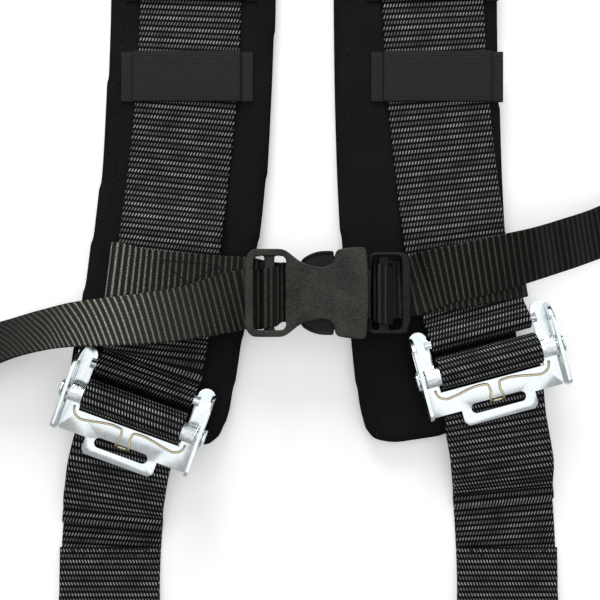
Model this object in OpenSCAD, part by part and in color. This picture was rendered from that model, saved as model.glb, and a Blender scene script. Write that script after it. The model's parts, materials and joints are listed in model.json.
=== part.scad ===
// Shoulder section of a two-inch racing harness with a chest strap and side-release buckle,
// lying flat, +Y towards the shoulders, +Z up from the surface it lies on.

/* [Webbing] */
// Width of the shoulder webbing
shoulder_w = 50; // [45:0.5:51]
// Thickness of the shoulder webbing
shoulder_t = 1.7; // [1.2:0.1:1.9]
// Width of the chest webbing
chest_w = 29; // [22:0.5:30]
// Thickness of the chest webbing
chest_t = 1.3; // [1:0.1:1.5]
// Clear gap between layers that lie on each other
layer_gap = 0.3; // [0.2:0.05:0.4]

/* [Shoulder pads] */
// Width of a pad
pad_w = 82; // [70:1:92]
// Thickness of a pad
pad_t = 11; // [8:0.5:15]
// Thickness of the pad's cover
cover_t = 0.9; // [0.6:0.1:1.5]
// Length of a pad beyond the buckle towards the shoulder
pad_top = 205; // [170:1:230]

/* [Buckle] */
// Width of the buckle's mouth
buckle_w = 44; // [42:0.5:50]
// Thickness of the buckle's body
buckle_t = 13; // [12:0.5:16]
// Length of the strap slot across the webbing
slot_w = 36; // [33:0.5:36.5]
// Side clearance between socket and plug
buckle_gap = 0.35; // [0.3:0.05:0.5]

/* [Adjusters] */
// Overall width of an adjuster
adjuster_w = 70; // [68:0.5:74]
// Thickness of the adjuster's steel
steel_t = 1.8; // [1.4:0.1:2.2]
// Height of the adjuster's flanges
flange_h = 12.5; // [11.5:0.5:14]
// Radius of the knurled bar
grip_r = 4.5; // [4:0.1:4.8]
// Radius of the fixed top crossbar
crossbar_r = 2.5; // [2:0.1:2.8]
// Diameter of the spring wire
wire_d = 1.3; // [1:0.1:1.5]

/* [End hardware] */
// Thickness of the anchor, link and slide plates
plate_t = 3; // [2.5:0.1:3.6]
// Diameter of the anchor bolt hole
bolt_d = 11.5; // [8:0.1:14]
// Length of the lap latch slot in a link plate
latch_slot_l = 26; // [20:0.5:32]
// Width of the lap latch slot in a link plate
latch_slot_w = 9; // [7:0.5:11]

/* [Hidden] */
$fn = 48;
L = 0;
R = 1;
black = [0.05, 0.05, 0.055];
cloth = [0.10, 0.10, 0.10];
plastic = [0.16, 0.16, 0.15];
zinc = [0.80, 0.82, 0.84];

// Heights of the layers where the chest strap goes round a shoulder strap
chest_back_z = pad_t + layer_gap + chest_t / 2;
return_z = pad_t + 2 * layer_gap + chest_t + shoulder_t / 2;
sewn_gap = 0.15;
front_z = return_z + shoulder_t + sewn_gap;
chest_front_z = front_z + shoulder_t / 2 + layer_gap + chest_t / 2;
chest_tail_z = chest_front_z + chest_t + layer_gap;
on_pad_z = pad_t + layer_gap + shoulder_t / 2;
floor_gap = 0.35;
on_floor_z = floor_gap + shoulder_t / 2;
wrap_gap = layer_gap + 0.1;

// Buckle: centre line and mid-plane height
buckle_y = 3.4;
bar_h = 3;
frame_h = 7;
outer_bar_h = 3.8;
buckle_z = chest_tail_z + chest_t / 2 + layer_gap + outer_bar_h / 2;
socket_bar_x = [-26.5, -22.5];
socket_slot_x = [-22.5, -6.1];
body_x = -6.6;
socket_mid_x = -14.9;
plug_bar_x = [49.1, 53.1];
plug_slot_x = [34.2, 49.1];
plug_mid_x = 40.6;
mid_bar_w = 5;
mouth_x = 32;
cavity_h = 7.4;
arm_h = cavity_h - 2 * buckle_gap;
mid_bar_lift = 0.5;
mid_bar_z = chest_front_z + chest_t / 2 + mid_bar_lift;

// Adjusters: place of the knurled bar and tilt of each side
adjuster_at = [[-80.6, -54.7], [91.8, -30.4]];
adjuster_tilt = [-20, 15];
crossbar_v = 15.5;
adjuster_z = pad_t + 2 * shoulder_t + 3 * layer_gap + 0.2;
grip_lift = 0.35;
grip_z = adjuster_z + steel_t + grip_r + grip_lift;
crossbar_sunk = 0.5;
crossbar_z = adjuster_z + steel_t - crossbar_sunk;
opening_play = 2.2;
opening_w = shoulder_w + opening_play;
grip_wrap_r = grip_r + wrap_gap + shoulder_t / 2;
cross_wrap_r = crossbar_r + wrap_gap + shoulder_t / 2;
load_z = on_pad_z;
tail_z = load_z + shoulder_t + layer_gap;

// End hardware: eyes that the webbing goes round
eye_r = 2.1;
eye_wrap_r = eye_r + wrap_gap + shoulder_t / 2;
eye_z = on_floor_z + eye_wrap_r;
eye_play = 1.5;
eye_half = shoulder_w / 2 + eye_play;
link_l = 34;
link_end_w = 40;
latch_slot_y = -22;
anchor_r = 15;
anchor_end_w = 27.5;
anchor_y = 268;
slide_y = 244;
bolt_reach = 36;

// Centre lines in plan, from the adjuster up to the shoulder
shoulder_lines = [
    [[-71.8, -28], [-69.4, -14], [-66.9, 2], [-65.1, 14], [-63.2, 32], [-60.4, 57],
     [-56.5, 95], [-54, 140], [-53, 190], [-53, 209]],
    [[84.4, -3.5], [81.7, 5], [78.8, 15], [77, 22], [75.2, 34], [72.6, 57],
     [68.5, 95], [65.8, 140], [64.5, 190], [64.5, 209]]
];
pad_lines = [
    [[-79.8, -68], [-75, -45], [-69.5, -15], [-64.5, 15], [-58.3, 57], [-55.5, 95], [-53.5, 140],
     [-53, pad_top]],
    [[73.6, -68], [71.7, -57], [66.3, -18], [62, 25], [59.8, 57], [58.3, 95], [57.5, 140],
     [57.3, pad_top]]
];
// Centre lines from the adjuster down to the link plate: place, and how far it has come down
drop_lines = [
    [[-89.5, -84], [-92.3, -98], [-94, -112], [-95, -126], [-95.5, -140], [-95.5, -152]],
    [[96.5, -62], [99.6, -80], [102, -100], [103.3, -120], [104, -140], [104, -152]]
];
link_y = -158;

// Chest straps, each measured outwards from the buckle's middle: place, height and roll
chest_fold_x = [90.9, 106.1];
chest_back_rows = [
    [[36, 5], [60, 8.5], [76, 11]],
    [[56, 7], [78, 10.4], [92, 12.9]]
];
chest_front_rows = [
    [[73, 10], [48, 7.8], [28, 6.6]],
    [[92, 12.9], [75, 9.9], [57, 6.9]]
];
chest_fold_y = [13.7, 15.4];
chest_fold_turn = [7, 9.8];
chest_tail_rows = [
    [[31, -0.4, 0, 0], [38, -2, 2.4, -12], [50, -5, 6.2, -24], [68, -8, 8.4, -31],
     [90, -10, 9.6, -38], [109, -11.5, 6.5, -43], [126, -14.6, 0, -47], [147, -20.5, -6.6, -46],
     [166, -28, -9.9, -32], [182, -36, -14.4, -12], [195, -43.5, -17.95, 0]],
    [[59, 8.4, 0, 0], [65, 10.3, 3, 12], [75, 12.8, 4.9, 19], [88, 15.8, 6.6, 22],
     [100, 18.6, 7.7, 25], [112, 21.8, 8.3, 30], [127, 26.3, 3, 31], [147, 33, -3.9, 31],
     [166, 41.4, -9.2, 23], [182, 49.6, -14.7, 10], [195, 56.5, -17.95, 0]]
];
chest_spread = [[3.8, 0.6, 0.2], [4, 2.2, 5]];
// Space between each strap's upward turn and the wall of its slot
turn_clear = [0.3, 0.9];

// Rows of the webbing run; a row is [x, y, z, heading, pitch, roll]
function flip(r) = [-r[0], r[1], r[2], 180 - r[3], r[4], -r[5]];
function heading(a, b) = atan2(b[1] - a[1], b[0] - a[0]);
function turn_at(p, i) = heading(p[max(i - 1, 0)], p[min(i + 1, len(p) - 1)]);
function bend(c, h, r, from, to, steps) = [
    for (i = [0:steps])
        let (a = from + (to - from) * i / steps)
        [c[0] + cos(h) * r * sin(a), c[1] + sin(h) * r * sin(a), c[2] - r * cos(a), h, a, 0]
];
function corners(row, w, t) =
    let (
        h = row[3],
        p = row[4],
        up = [-cos(h) * sin(p), -sin(h) * sin(p), cos(p)],
        side = [-sin(h), cos(h), 0],
        s = side * cos(row[5]) + up * sin(row[5]),
        n = up * cos(row[5]) - side * sin(row[5]),
        c = [row[0], row[1], row[2]]
    )
    [c + s * w / 2 + n * t / 2, c - s * w / 2 + n * t / 2, c - s * w / 2 - n * t / 2, c + s * w / 2 - n * t / 2];
function skin(sides, rings) = concat(
    [for (j = [1:sides - 2]) [0, j, j + 1]],
    [
        for (i = [0:rings - 2])
            for (j = [0:sides - 1])
                for (k = [0:1])
                    let (
                        a = sides * i + j,
                        b = a + sides,
                        d = sides * i + (j + 1) % sides,
                        c = d + sides
                    )
                    k == 0 ? [a, b, c] : [a, c, d]
    ],
    [for (j = [1:sides - 2]) [sides * rings - sides, sides * rings - sides + j + 1, sides * rings - sides + j]]
);
module webbing(rows, w, t) {
    polyhedron(points = [for (r = rows) for (p = corners(r, w, t)) p], faces = skin(4, len(rows)));
}

// Frame of reference: the middle of the plan outline becomes the origin
reach_y = [link_y - link_l, anchor_y + bolt_reach + anchor_r];
function tail_end_x(s) =
    let (rows = chest_tail_rows[s], n = len(rows))
    rows[n - 1][0] + chest_w / 2 * abs(sin(turn_at(rows, n - 1)));
mid_x = (tail_end_x(R) - tail_end_x(L)) / 2;
mid_y = (reach_y[0] + reach_y[1]) / 2;
module lay() {
    translate([-mid_x, -mid_y, 0]) children();
}
module at_buckle() {
    lay() translate([0, buckle_y, buckle_z]) children();
}
module at_adjuster(s) {
    lay() translate([adjuster_at[s][0], adjuster_at[s][1], 0]) rotate([0, 0, adjuster_tilt[s]]) children();
}
module plate(h, z) {
    translate([0, 0, z]) linear_extrude(height = h) children();
}
module bar_across(r, l, y, z) {
    translate([0, y, z]) rotate([0, 90, 0]) cylinder(r = r, h = l, center = true);
}

// Buckle
module ladder_frame(slot_x, bar_x, outer, mid_x) {
    // Side rails and outer bar
    difference() {
        plate(frame_h, -frame_h / 2) polygon(outer);
        translate([slot_x[0], -slot_w / 2, -frame_h])
            cube([slot_x[1] - slot_x[0], slot_w, 2 * frame_h]);
        for (z = [outer_bar_h / 2, -outer_bar_h / 2 - frame_h])
            translate([bar_x[0] - 1, -slot_w / 2, z]) cube([bar_x[1] - bar_x[0] + 2, slot_w, frame_h]);
    }
    // Middle bar that the webbing turns over
    translate([mid_x - mid_bar_w / 2, -slot_w / 2 - 1, mid_bar_z - buckle_z])
        cube([mid_bar_w, slot_w + 2, bar_h]);
}
module socket_outline() {
    half = buckle_w / 2;
    difference() {
        polygon([
            [body_x, -half + 1.6], [-0.7, -15.9], [6.9, -19.6], [16, -20.4], [23, -half + 0.4], [30.5, -half],
            [32.4, -12], [32.8, 0], [32.4, 12],
            [30.5, half], [23, half - 0.4], [16, 20.4], [6.9, 19.6], [-0.7, 15.9], [body_x, half - 1.6]
        ]);
        for (m = [0, 1]) mirror([0, m, 0]) arm_window();
    }
}
module arm_window() {
    polygon([
        [-1.2, 15.6], [4.4, 13.4], [10.8, 12.4], [14.4, 13.2], [16.2, 15.4], [17, 18.8], [17, 24], [-1.2, 24]
    ]);
}
module buckle_socket() {
    // The body's middle stands this much proud of its rim
    crown = 1.5;
    color(plastic) at_buckle() {
        ladder_frame(
            socket_slot_x, socket_bar_x,
            [[-26.5, -16], [-24.5, -20], [-20.4, -21.2], [-8.8, -21.2], [-4.6, -19], [-4.6, 19], [-8.8, 21.2],
             [-20.4, 21.2], [-24.5, 20], [-26.5, 16]],
            socket_mid_x
        );
        difference() {
            union() {
                plate(buckle_t - 2 * crown, crown - buckle_t / 2) socket_outline();
                plate(buckle_t, -buckle_t / 2)
                    polygon([[-2, -13], [8, -11], [17, -16], [30, -19], [31.6, 0], [30, 19], [17, 16], [8, 11], [-2, 13]]);
            }
            // Cavity for the plug, open at the mouth
            plate(cavity_h, -cavity_h / 2)
                polygon([[0.6, -14.6], [5, -18.6], [mouth_x + 3, -18.6], [mouth_x + 3, 18.6], [5, 18.6], [0.6, 14.6]]);
        }
    }
}
module buckle_plug() {
    color(plastic) at_buckle() {
        ladder_frame(
            plug_slot_x, plug_bar_x,
            [[33.4, -17.5], [35, -19.6], [49.8, -19.6], [52.2, -17], [53.1, -6], [53.1, 6], [52.2, 17],
             [49.8, 19.6], [35, 19.6], [33.4, 17.5]],
            plug_mid_x
        );
        // Base that fills the mouth, and the centre guide
        plate(arm_h, -arm_h / 2)
            polygon([[30.5, -18.2], [34.2, -18.2], [34.2, 18.2], [30.5, 18.2], [30.5, 8.5], [27, 6], [27, -6], [30.5, -8.5]]);
        plate(3, -1.5) polygon([[28, -3.4], [4, -2.6], [3, 0], [4, 2.6], [28, 3.4]]);
    }
}
module release_arm() {
    plate(arm_h, -arm_h / 2)
        polygon([
            [30, 10], [30, 15], [22, 15.6], [19.5, 15.9], [16.3, 17.6], [16.1, 20.1], [11, 20.2], [6.5, 19.3],
            [2.6, 17.4], [0.4, 15.4], [3.2, 13], [9, 11.4], [15, 11.2], [20, 11.4], [26, 10.4]
        ]);
}
module release_arm_upper() {
    color(plastic) at_buckle() release_arm();
}
module release_arm_lower() {
    color(plastic) at_buckle() mirror([0, 1, 0]) release_arm();
}

// Chest straps
module chest_strap(s) {
    fold_c = [chest_fold_x[s], chest_fold_y[s], (chest_back_z + chest_front_z) / 2];
    fold_r = (chest_front_z - chest_back_z) / 2;
    mid = s == L ? -socket_mid_x : plug_mid_x;
    wall = s == L ? -body_x : plug_slot_x[0];
    wrap = 1.5;
    wide_wrap = 2.2;
    slope = 27;
    over_z = mid_bar_z + bar_h + layer_gap + chest_t / 2;
    bar_play = 0.2;
    off = mid_bar_w / 2 + layer_gap + chest_t / 2 + bar_play;
    back = chest_back_rows[s];
    front = chest_front_rows[s];
    tail = chest_tail_rows[s];
    sy = chest_spread[s];
    rows = concat(
        [for (i = [0:len(back) - 1]) [back[i][0], back[i][1], chest_back_z, turn_at(back, i), 0, 0]],
        bend(fold_c, chest_fold_turn[s], fold_r, 0, 180, 8),
        [for (i = [0:len(front) - 1]) [front[i][0], front[i][1], chest_front_z, turn_at(front, i) - 180, 180, 0]],
        bend([wall + turn_clear[s] + chest_t / 2 + wrap, sy[0], chest_front_z + wrap], 0, -wrap, 180, slope, 5),
        bend([mid - off + wide_wrap - 0.4, sy[1] + 1, over_z - wide_wrap], 0, -wide_wrap, slope, 0, 2),
        bend([mid + off - wrap, sy[1], over_z - wrap], 0, -wrap, 0, -90, 3),
        bend([mid + off + wrap, sy[2], chest_tail_z + wrap], 0, wrap, -90, 0, 3),
        [for (i = [0:len(tail) - 1]) [tail[i][0], tail[i][1], chest_tail_z + tail[i][2], turn_at(tail, i), 0, tail[i][3]]]
    );
    color(cloth) lay() webbing(s == L ? [for (r = rows) flip(r)] : rows, chest_w, chest_t);
}
module chest_strap_left() {
    chest_strap(L);
}
module chest_strap_right() {
    chest_strap(R);
}

// Shoulder straps: sewn end, round the crossbar, up over the pad, through the slide, round the anchor
function cross_at(s) = adjuster_at[s] + crossbar_v * [-sin(adjuster_tilt[s]), cos(adjuster_tilt[s])];
function climb(s, d, z) =
    let (c = cross_at(s), h = adjuster_tilt[s] - 90)
    [c[0] - d * cos(h), c[1] - d * sin(h), z, h, 180, 0];
module shoulder_strap(s) {
    line = shoulder_lines[s];
    n = len(line);
    h = adjuster_tilt[s] - 90;
    c = cross_at(s);
    top_x = line[n - 1][0];
    cross_top = crossbar_z + cross_wrap_r;
    rows = concat(
        [for (i = [3, 1, 0]) [line[i][0], line[i][1], return_z, turn_at(line, i) - 180, 0, 0]],
        [[c[0] - 6 * cos(h), c[1] - 6 * sin(h), return_z, h, 0, 0]],
        bend([c[0], c[1], crossbar_z], h, cross_wrap_r, 0, 180, 10),
        [climb(s, 2.5, cross_top - 0.2), climb(s, 5.5, (cross_top + front_z) / 2 + 0.2), climb(s, 8.5, front_z + 0.05)],
        [for (i = [0:4]) [line[i][0], line[i][1], front_z, turn_at(line, i) - 180, 180, 0]],
        [for (i = [5:n - 1]) [line[i][0], line[i][1], on_pad_z, turn_at(line, i) - 180, 180, 0]],
        [for (p = [[slide_y - 22, 7.5], [slide_y - 10, 4.4], [slide_y, 8], [slide_y + 10, 2.4]])
            [top_x, p[0], p[1], -90, 180, 0]],
        bend([top_x, anchor_y, eye_z], -90, -eye_wrap_r, 180, 0, 10),
        [for (p = [[slide_y + 10, 5], [slide_y, 10.4], [slide_y - 10, 6.8], [slide_y - 22, 10.4], [slide_y - 34, 14.2],
                   [slide_y - 62, on_pad_z + shoulder_t + layer_gap]])
            [top_x, p[0], p[1], -90, 0, 0]]
    );
    color(black) lay() webbing(rows, shoulder_w, shoulder_t);
}
module shoulder_strap_left() {
    shoulder_strap(L);
}
module shoulder_strap_right() {
    shoulder_strap(R);
}

// Pads: a foam core sewn into a cloth cover
pad_corner_r = 12;
foam_gap = 0.1;
function beside(line, w) = concat(
    [for (i = [0:len(line) - 1]) let (a = turn_at(line, i)) [line[i][0] - w * sin(a), line[i][1] + w * cos(a)]],
    [for (i = [len(line) - 1:-1:0]) let (a = turn_at(line, i)) [line[i][0] + w * sin(a), line[i][1] - w * cos(a)]]
);
module pad_outline(s, inset) {
    offset(r = pad_corner_r - inset, $fn = 24) offset(delta = -pad_corner_r) polygon(beside(pad_lines[s], pad_w / 2));
}
module pad_cover(s) {
    color(black) lay() difference() {
        plate(pad_t, 0) pad_outline(s, 0);
        plate(pad_t - 2 * cover_t, cover_t) pad_outline(s, cover_t);
    }
}
module pad_foam(s) {
    color("dimgray") lay() plate(pad_t - 2 * (cover_t + foam_gap), cover_t + foam_gap) pad_outline(s, cover_t + foam_gap);
}
module pad_cover_left() {
    pad_cover(L);
}
module pad_cover_right() {
    pad_cover(R);
}
module pad_foam_left() {
    pad_foam(L);
}
module pad_foam_right() {
    pad_foam(R);
}
// Two bands sewn to each pad hold the webbing on it
keeper_w = 25;
keeper_t = 1.2;
keeper_y = [110, 160];
module pad_keepers(s) {
    line = shoulder_lines[s];
    low = pad_t + 0.05 + keeper_t / 2;
    high = on_pad_z + shoulder_t / 2 + layer_gap + keeper_t / 2;
    half = shoulder_w / 2;
    color(black) lay() for (y = keeper_y) {
        x = lookup(y, [for (p = line) [p[1], p[0]]]);
        sew = 6;
        rows = [
            [x - half - 1.5 - sew, y, low, 0, 0, 0], [x - half - 2.4, y, low, 0, 10, 0], [x - half - 0.9, y, high, 0, 10, 0],
            [x + half + 0.9, y, high, 0, -10, 0], [x + half + 2.4, y, low, 0, -10, 0], [x + half + 1.5 + sew, y, low, 0, 0, 0]
        ];
        webbing(rows, keeper_w, keeper_t);
    }
}
module pad_keepers_left() {
    pad_keepers(L);
}
module pad_keepers_right() {
    pad_keepers(R);
}

// Adjusters
rail_top = 23;
rail_bottom = -19.6;
plate_edge = -8.4;
tongue_w = 37;
tongue_end = -27.5;
neck_r = 3;
bar_slot = [-3, 12];
module adjuster_blank() {
    half = adjuster_w / 2;
    rail = (adjuster_w - opening_w) / 2;
    corner = 3;
    bevel = 2;
    hook_slot = [22.4, 5];
    hook_y = -20.1;
    difference() {
        union() {
            polygon([
                [-half, rail_top - rail / 2], [-half, rail_bottom + corner], [-half + corner, rail_bottom],
                [-tongue_w / 2, rail_bottom], [-tongue_w / 2, tongue_end + bevel], [bevel - tongue_w / 2, tongue_end],
                [tongue_w / 2 - bevel, tongue_end], [tongue_w / 2, tongue_end + bevel], [tongue_w / 2, rail_bottom],
                [half - corner, rail_bottom], [half, rail_bottom + corner], [half, rail_top - rail / 2]
            ]);
            for (x = [-1, 1]) translate([x * (half - rail / 2), rail_top - rail / 2]) circle(r = rail / 2);
        }
        translate([-opening_w / 2, plate_edge]) square([opening_w, rail_top - plate_edge + 1]);
        // Slot that the spring hooks into
        for (x = [-1, 1]) translate([x * hook_slot[0] / 2, hook_y]) circle(d = hook_slot[1]);
        translate([0, hook_y]) square(hook_slot, center = true);
    }
}
flange_foot = 3;
slot_play = 0.3;
module flange() {
    // Upright side in profile: full height along the bar, rounded off towards the top end
    round_r = flange_h - steel_t;
    top = rail_top - 2;
    difference() {
        union() {
            translate([0, rail_bottom + flange_foot, 0]) cube([steel_t, top - round_r - rail_bottom - flange_foot, flange_h]);
            translate([0, rail_bottom, 0]) cube([steel_t, flange_foot, flange_h - flange_foot]);
            translate([0, top - round_r, steel_t]) rotate([0, 90, 0]) cylinder(r = round_r, h = steel_t);
            translate([0, rail_bottom + flange_foot, flange_h - flange_foot]) rotate([0, 90, 0]) cylinder(r = flange_foot, h = steel_t);
        }
        translate([-1, bar_slot[0], grip_z - adjuster_z - neck_r - slot_play])
            cube([steel_t + 2, bar_slot[1] - bar_slot[0], 2 * (neck_r + slot_play)]);
        for (y = bar_slot)
            translate([-1, y, grip_z - adjuster_z]) rotate([0, 90, 0]) cylinder(r = neck_r + slot_play, h = steel_t + 2);
        translate([-1, rail_bottom - 20, -20]) cube([steel_t + 2, 80, 20]);
    }
}
module adjuster_frame(s) {
    color(zinc) at_adjuster(s) {
        plate(steel_t, adjuster_z) adjuster_blank();
        translate([adjuster_w / 2 - steel_t, 0, adjuster_z]) flange();
        translate([-adjuster_w / 2, 0, adjuster_z]) flange();
        bar_across(crossbar_r, opening_w + 4, crossbar_v, crossbar_z);
    }
}
module adjuster_bar(s) {
    inner = adjuster_w - 2 * steel_t - 1;
    head_t = 1.5;
    head_gap = 0.4;
    color(zinc) at_adjuster(s) {
        bar_across(grip_r, inner, 0, grip_z);
        bar_across(neck_r, adjuster_w + 1, 0, grip_z);
        for (x = [-1, 1]) translate([x * (adjuster_w / 2 + head_gap + head_t / 2), 0, 0])
            bar_across(grip_r + 0.2, head_t, 0, grip_z);
    }
}
module adjuster_frame_left() {
    adjuster_frame(L);
}
module adjuster_frame_right() {
    adjuster_frame(R);
}
module adjuster_bar_left() {
    adjuster_bar(L);
}
module adjuster_bar_right() {
    adjuster_bar(R);
}

// Spring: one wire hooked into the plate's slot, its two arms reaching out under the bar's ends
spring_half = [
    [0, -18.9, -0.75], [2.2, -18.9, -0.75], [3.3, -18.5, 0.3], [3.2, -17.3, 1.1], [2.4, -12.4, 1], [3.1, -9.4, 1],
    [6.5, -8.6, 1], [13, -9.4, 1], [19.5, -11.6, 1], [24.5, -12, 1], [27.6, -10.2, 1.1], [28.4, -7.4, 1.6],
    [28.4, -6.2, 2.4]
];
spring_path = concat(
    [for (i = [len(spring_half) - 1:-1:1]) [-spring_half[i][0], spring_half[i][1], spring_half[i][2]]],
    spring_half
);
function wire_ring(p, i, r, sides) =
    let (
        d = p[min(i + 1, len(p) - 1)] - p[max(i - 1, 0)],
        f = d / norm(d),
        a = cross([0, 0, 1], f),
        u = a / norm(a),
        n = cross(f, u)
    )
    [for (k = [0:sides - 1]) p[i] + r * (cos(-360 * k / sides) * u + sin(-360 * k / sides) * n)];
module adjuster_spring(s) {
    sides = 8;
    path = [for (p = spring_path) [p[0], p[1], adjuster_z + steel_t + p[2]]];
    color([0.72, 0.66, 0.50]) at_adjuster(s)
        polyhedron(
            points = [for (i = [0:len(path) - 1]) for (q = wire_ring(path, i, wire_d / 2, sides)) q],
            faces = skin(sides, len(path))
        );
}
module adjuster_spring_left() {
    adjuster_spring(L);
}
module adjuster_spring_right() {
    adjuster_spring(R);
}

// Adjusting strap: sewn round the link plate, up behind the adjuster, over the bar and back down
function down(s, v) = adjuster_at[s] - v * [-sin(adjuster_tilt[s]), cos(adjuster_tilt[s])];
function fall(y, high) = y > -85 ? high : (y > -92 ? high - 1.6 : (y > -99 ? high - 5 : high - load_z + on_floor_z));
module adjusting_strap(s) {
    line = drop_lines[s];
    n = len(line);
    h = adjuster_tilt[s] - 90;
    a = adjuster_at[s];
    out_r = 1.6;
    x = line[n - 1][0];
    edge = down(s, grip_wrap_r + out_r);
    roll_r = (grip_z + grip_wrap_r - load_z) / 2;
    color(black) lay() webbing(
        concat(
            [
                [x, link_y + 34, on_floor_z + shoulder_t + layer_gap, -90, 0, 0],
                [x, link_y + 14, on_floor_z + shoulder_t + layer_gap + 1, -90, 0, 0]
            ],
            bend([x, link_y, eye_z], -90, -eye_wrap_r, 0, -180, 10),
            [for (i = [n - 1:-1:0]) [line[i][0], line[i][1], fall(line[i][1], load_z), turn_at(line, i), 180, 0]],
            [for (v = [12, 4]) [down(s, v)[0], down(s, v)[1], load_z, h, 180, 0]],
            // A loose turn up over the bar, then close down its front and out behind the plate
            bend([a[0], a[1], load_z + roll_r], h, -roll_r, 180, 0, 12),
            bend([a[0], a[1], grip_z], h, -grip_wrap_r, -15, -90, 5),
            bend([edge[0], edge[1], tail_z + out_r], h, out_r, -90, 0, 4),
            [for (i = [0:2]) [line[i][0], line[i][1], fall(line[i][1], tail_z), turn_at(line, i), 0, 0]]
        ),
        shoulder_w, shoulder_t
    );
}
module adjusting_strap_left() {
    adjusting_strap(L);
}
module adjusting_strap_right() {
    adjusting_strap(R);
}

// End plates: a round eye for the webbing and a flat body
module eye_plate(length, end_w) {
    // The eye's axis is at the origin and the body runs towards -Y
    arm = 4;
    body_top = -eye_wrap_r - shoulder_t / 2 - 1.4;
    half = eye_half + arm;
    bar_across(eye_r, 2 * half - 1, 0, 0);
    plate(plate_t, -plate_t / 2) {
        difference() {
            union() {
                for (x = [-1, 1]) translate([x * (half - arm / 2) - arm / 2, body_top - 1]) square([arm, -body_top + 1]);
                for (x = [-1, 1]) translate([x * (half - arm / 2), 0]) circle(r = arm / 2);
                polygon([
                    [-half, body_top], [-half, body_top - 4], [-end_w / 2, -length], [end_w / 2, -length],
                    [half, body_top - 4], [half, body_top]
                ]);
            }
            children();
        }
    }
}
module link_plate(s) {
    x = drop_lines[s][len(drop_lines[s]) - 1][0];
    color(zinc) lay() translate([x, link_y, eye_z])
        eye_plate(link_l, link_end_w) {
            translate([-latch_slot_l / 2 + latch_slot_w / 2, latch_slot_y]) circle(d = latch_slot_w);
            translate([latch_slot_l / 2 - latch_slot_w / 2, latch_slot_y]) circle(d = latch_slot_w);
            translate([-latch_slot_l / 2 + latch_slot_w / 2, latch_slot_y - latch_slot_w / 2])
                square([latch_slot_l - latch_slot_w, latch_slot_w]);
        }
}
module anchor_plate(s) {
    x = shoulder_lines[s][len(shoulder_lines[s]) - 1][0];
    color(zinc) lay() translate([x, anchor_y, eye_z]) mirror([0, 1, 0])
        difference() {
            union() {
                eye_plate(bolt_reach - 6, anchor_end_w);
                translate([0, -bolt_reach, -plate_t / 2]) cylinder(r = anchor_r, h = plate_t);
            }
            translate([0, -bolt_reach, -plate_t]) cylinder(d = bolt_d, h = 2 * plate_t);
        }
}
module link_plate_left() {
    link_plate(L);
}
module link_plate_right() {
    link_plate(R);
}
module anchor_plate_left() {
    anchor_plate(L);
}
module anchor_plate_right() {
    anchor_plate(R);
}

// Three-bar slide that holds the doubled webbing below each anchor plate
slide_half_l = 12;
slide_bar_r = 1.7;
slide_bars = [[-10, 9.9], [0, 5], [10, 7.9]];
module strap_slide(s) {
    x = shoulder_lines[s][len(shoulder_lines[s]) - 1][0];
    side_w = 4;
    side_low = 3;
    half = eye_half + side_w;
    color(zinc) lay() translate([x, slide_y, 0]) {
        for (m = [-1, 1])
            translate([m * (half - side_w / 2) - side_w / 2, -slide_half_l, side_low])
                cube([side_w, 2 * slide_half_l, plate_t + 3]);
        for (b = slide_bars) bar_across(slide_bar_r, 2 * half - 2, b[0], b[1]);
    }
}
module strap_slide_left() {
    strap_slide(L);
}
module strap_slide_right() {
    strap_slide(R);
}

buckle_socket();
buckle_plug();
release_arm_upper();
release_arm_lower();
chest_strap_left();
chest_strap_right();
shoulder_strap_left();
shoulder_strap_right();
pad_cover_left();
pad_cover_right();
pad_foam_left();
pad_foam_right();
pad_keepers_left();
pad_keepers_right();
adjuster_frame_left();
adjuster_frame_right();
adjuster_bar_left();
adjuster_bar_right();
adjuster_spring_left();
adjuster_spring_right();
adjusting_strap_left();
adjusting_strap_right();
link_plate_left();
link_plate_right();
strap_slide_left();
strap_slide_right();
anchor_plate_left();
anchor_plate_right();
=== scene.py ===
"""Shoulder section of a racing harness with chest strap and side-release buckle, laid flat on a table."""

import json

import bmesh
import bpy
import numpy as np
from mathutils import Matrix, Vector


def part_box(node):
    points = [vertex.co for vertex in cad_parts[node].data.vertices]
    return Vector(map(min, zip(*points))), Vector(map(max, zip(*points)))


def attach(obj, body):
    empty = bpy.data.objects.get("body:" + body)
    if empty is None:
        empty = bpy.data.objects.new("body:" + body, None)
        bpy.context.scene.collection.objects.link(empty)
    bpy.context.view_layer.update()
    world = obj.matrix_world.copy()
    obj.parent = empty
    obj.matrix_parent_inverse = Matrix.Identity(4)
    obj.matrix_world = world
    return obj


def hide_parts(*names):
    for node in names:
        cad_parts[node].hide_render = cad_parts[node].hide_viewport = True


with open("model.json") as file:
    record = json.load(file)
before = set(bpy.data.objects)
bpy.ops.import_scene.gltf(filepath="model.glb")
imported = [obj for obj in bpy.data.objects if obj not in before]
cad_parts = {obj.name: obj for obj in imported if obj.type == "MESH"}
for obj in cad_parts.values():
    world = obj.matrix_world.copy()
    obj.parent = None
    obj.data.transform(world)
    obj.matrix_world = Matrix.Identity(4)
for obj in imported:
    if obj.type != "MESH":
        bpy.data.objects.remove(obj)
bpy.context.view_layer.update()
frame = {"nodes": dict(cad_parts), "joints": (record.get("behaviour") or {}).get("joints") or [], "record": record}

# ---------------------------------------------------------------------------
# The table it lies on, the soft light, and the camera. The camera looks
# straight down on the chest strap from close above.
# ---------------------------------------------------------------------------
MM = 0.001
buckle_low, buckle_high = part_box("buckle_socket")
# Middle of the harness's chest, a little below the buckle's own centre line
view_x = buckle_low.x + 26.5 * MM
view_y = (buckle_low.y + buckle_high.y) / 2 - 3.4 * MM
# The camera sees view_width at view_level above the table
view_height, view_level, view_width = 0.515, 0.015, 0.294
sensor_width = 36
table_reach = 3.0

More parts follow.
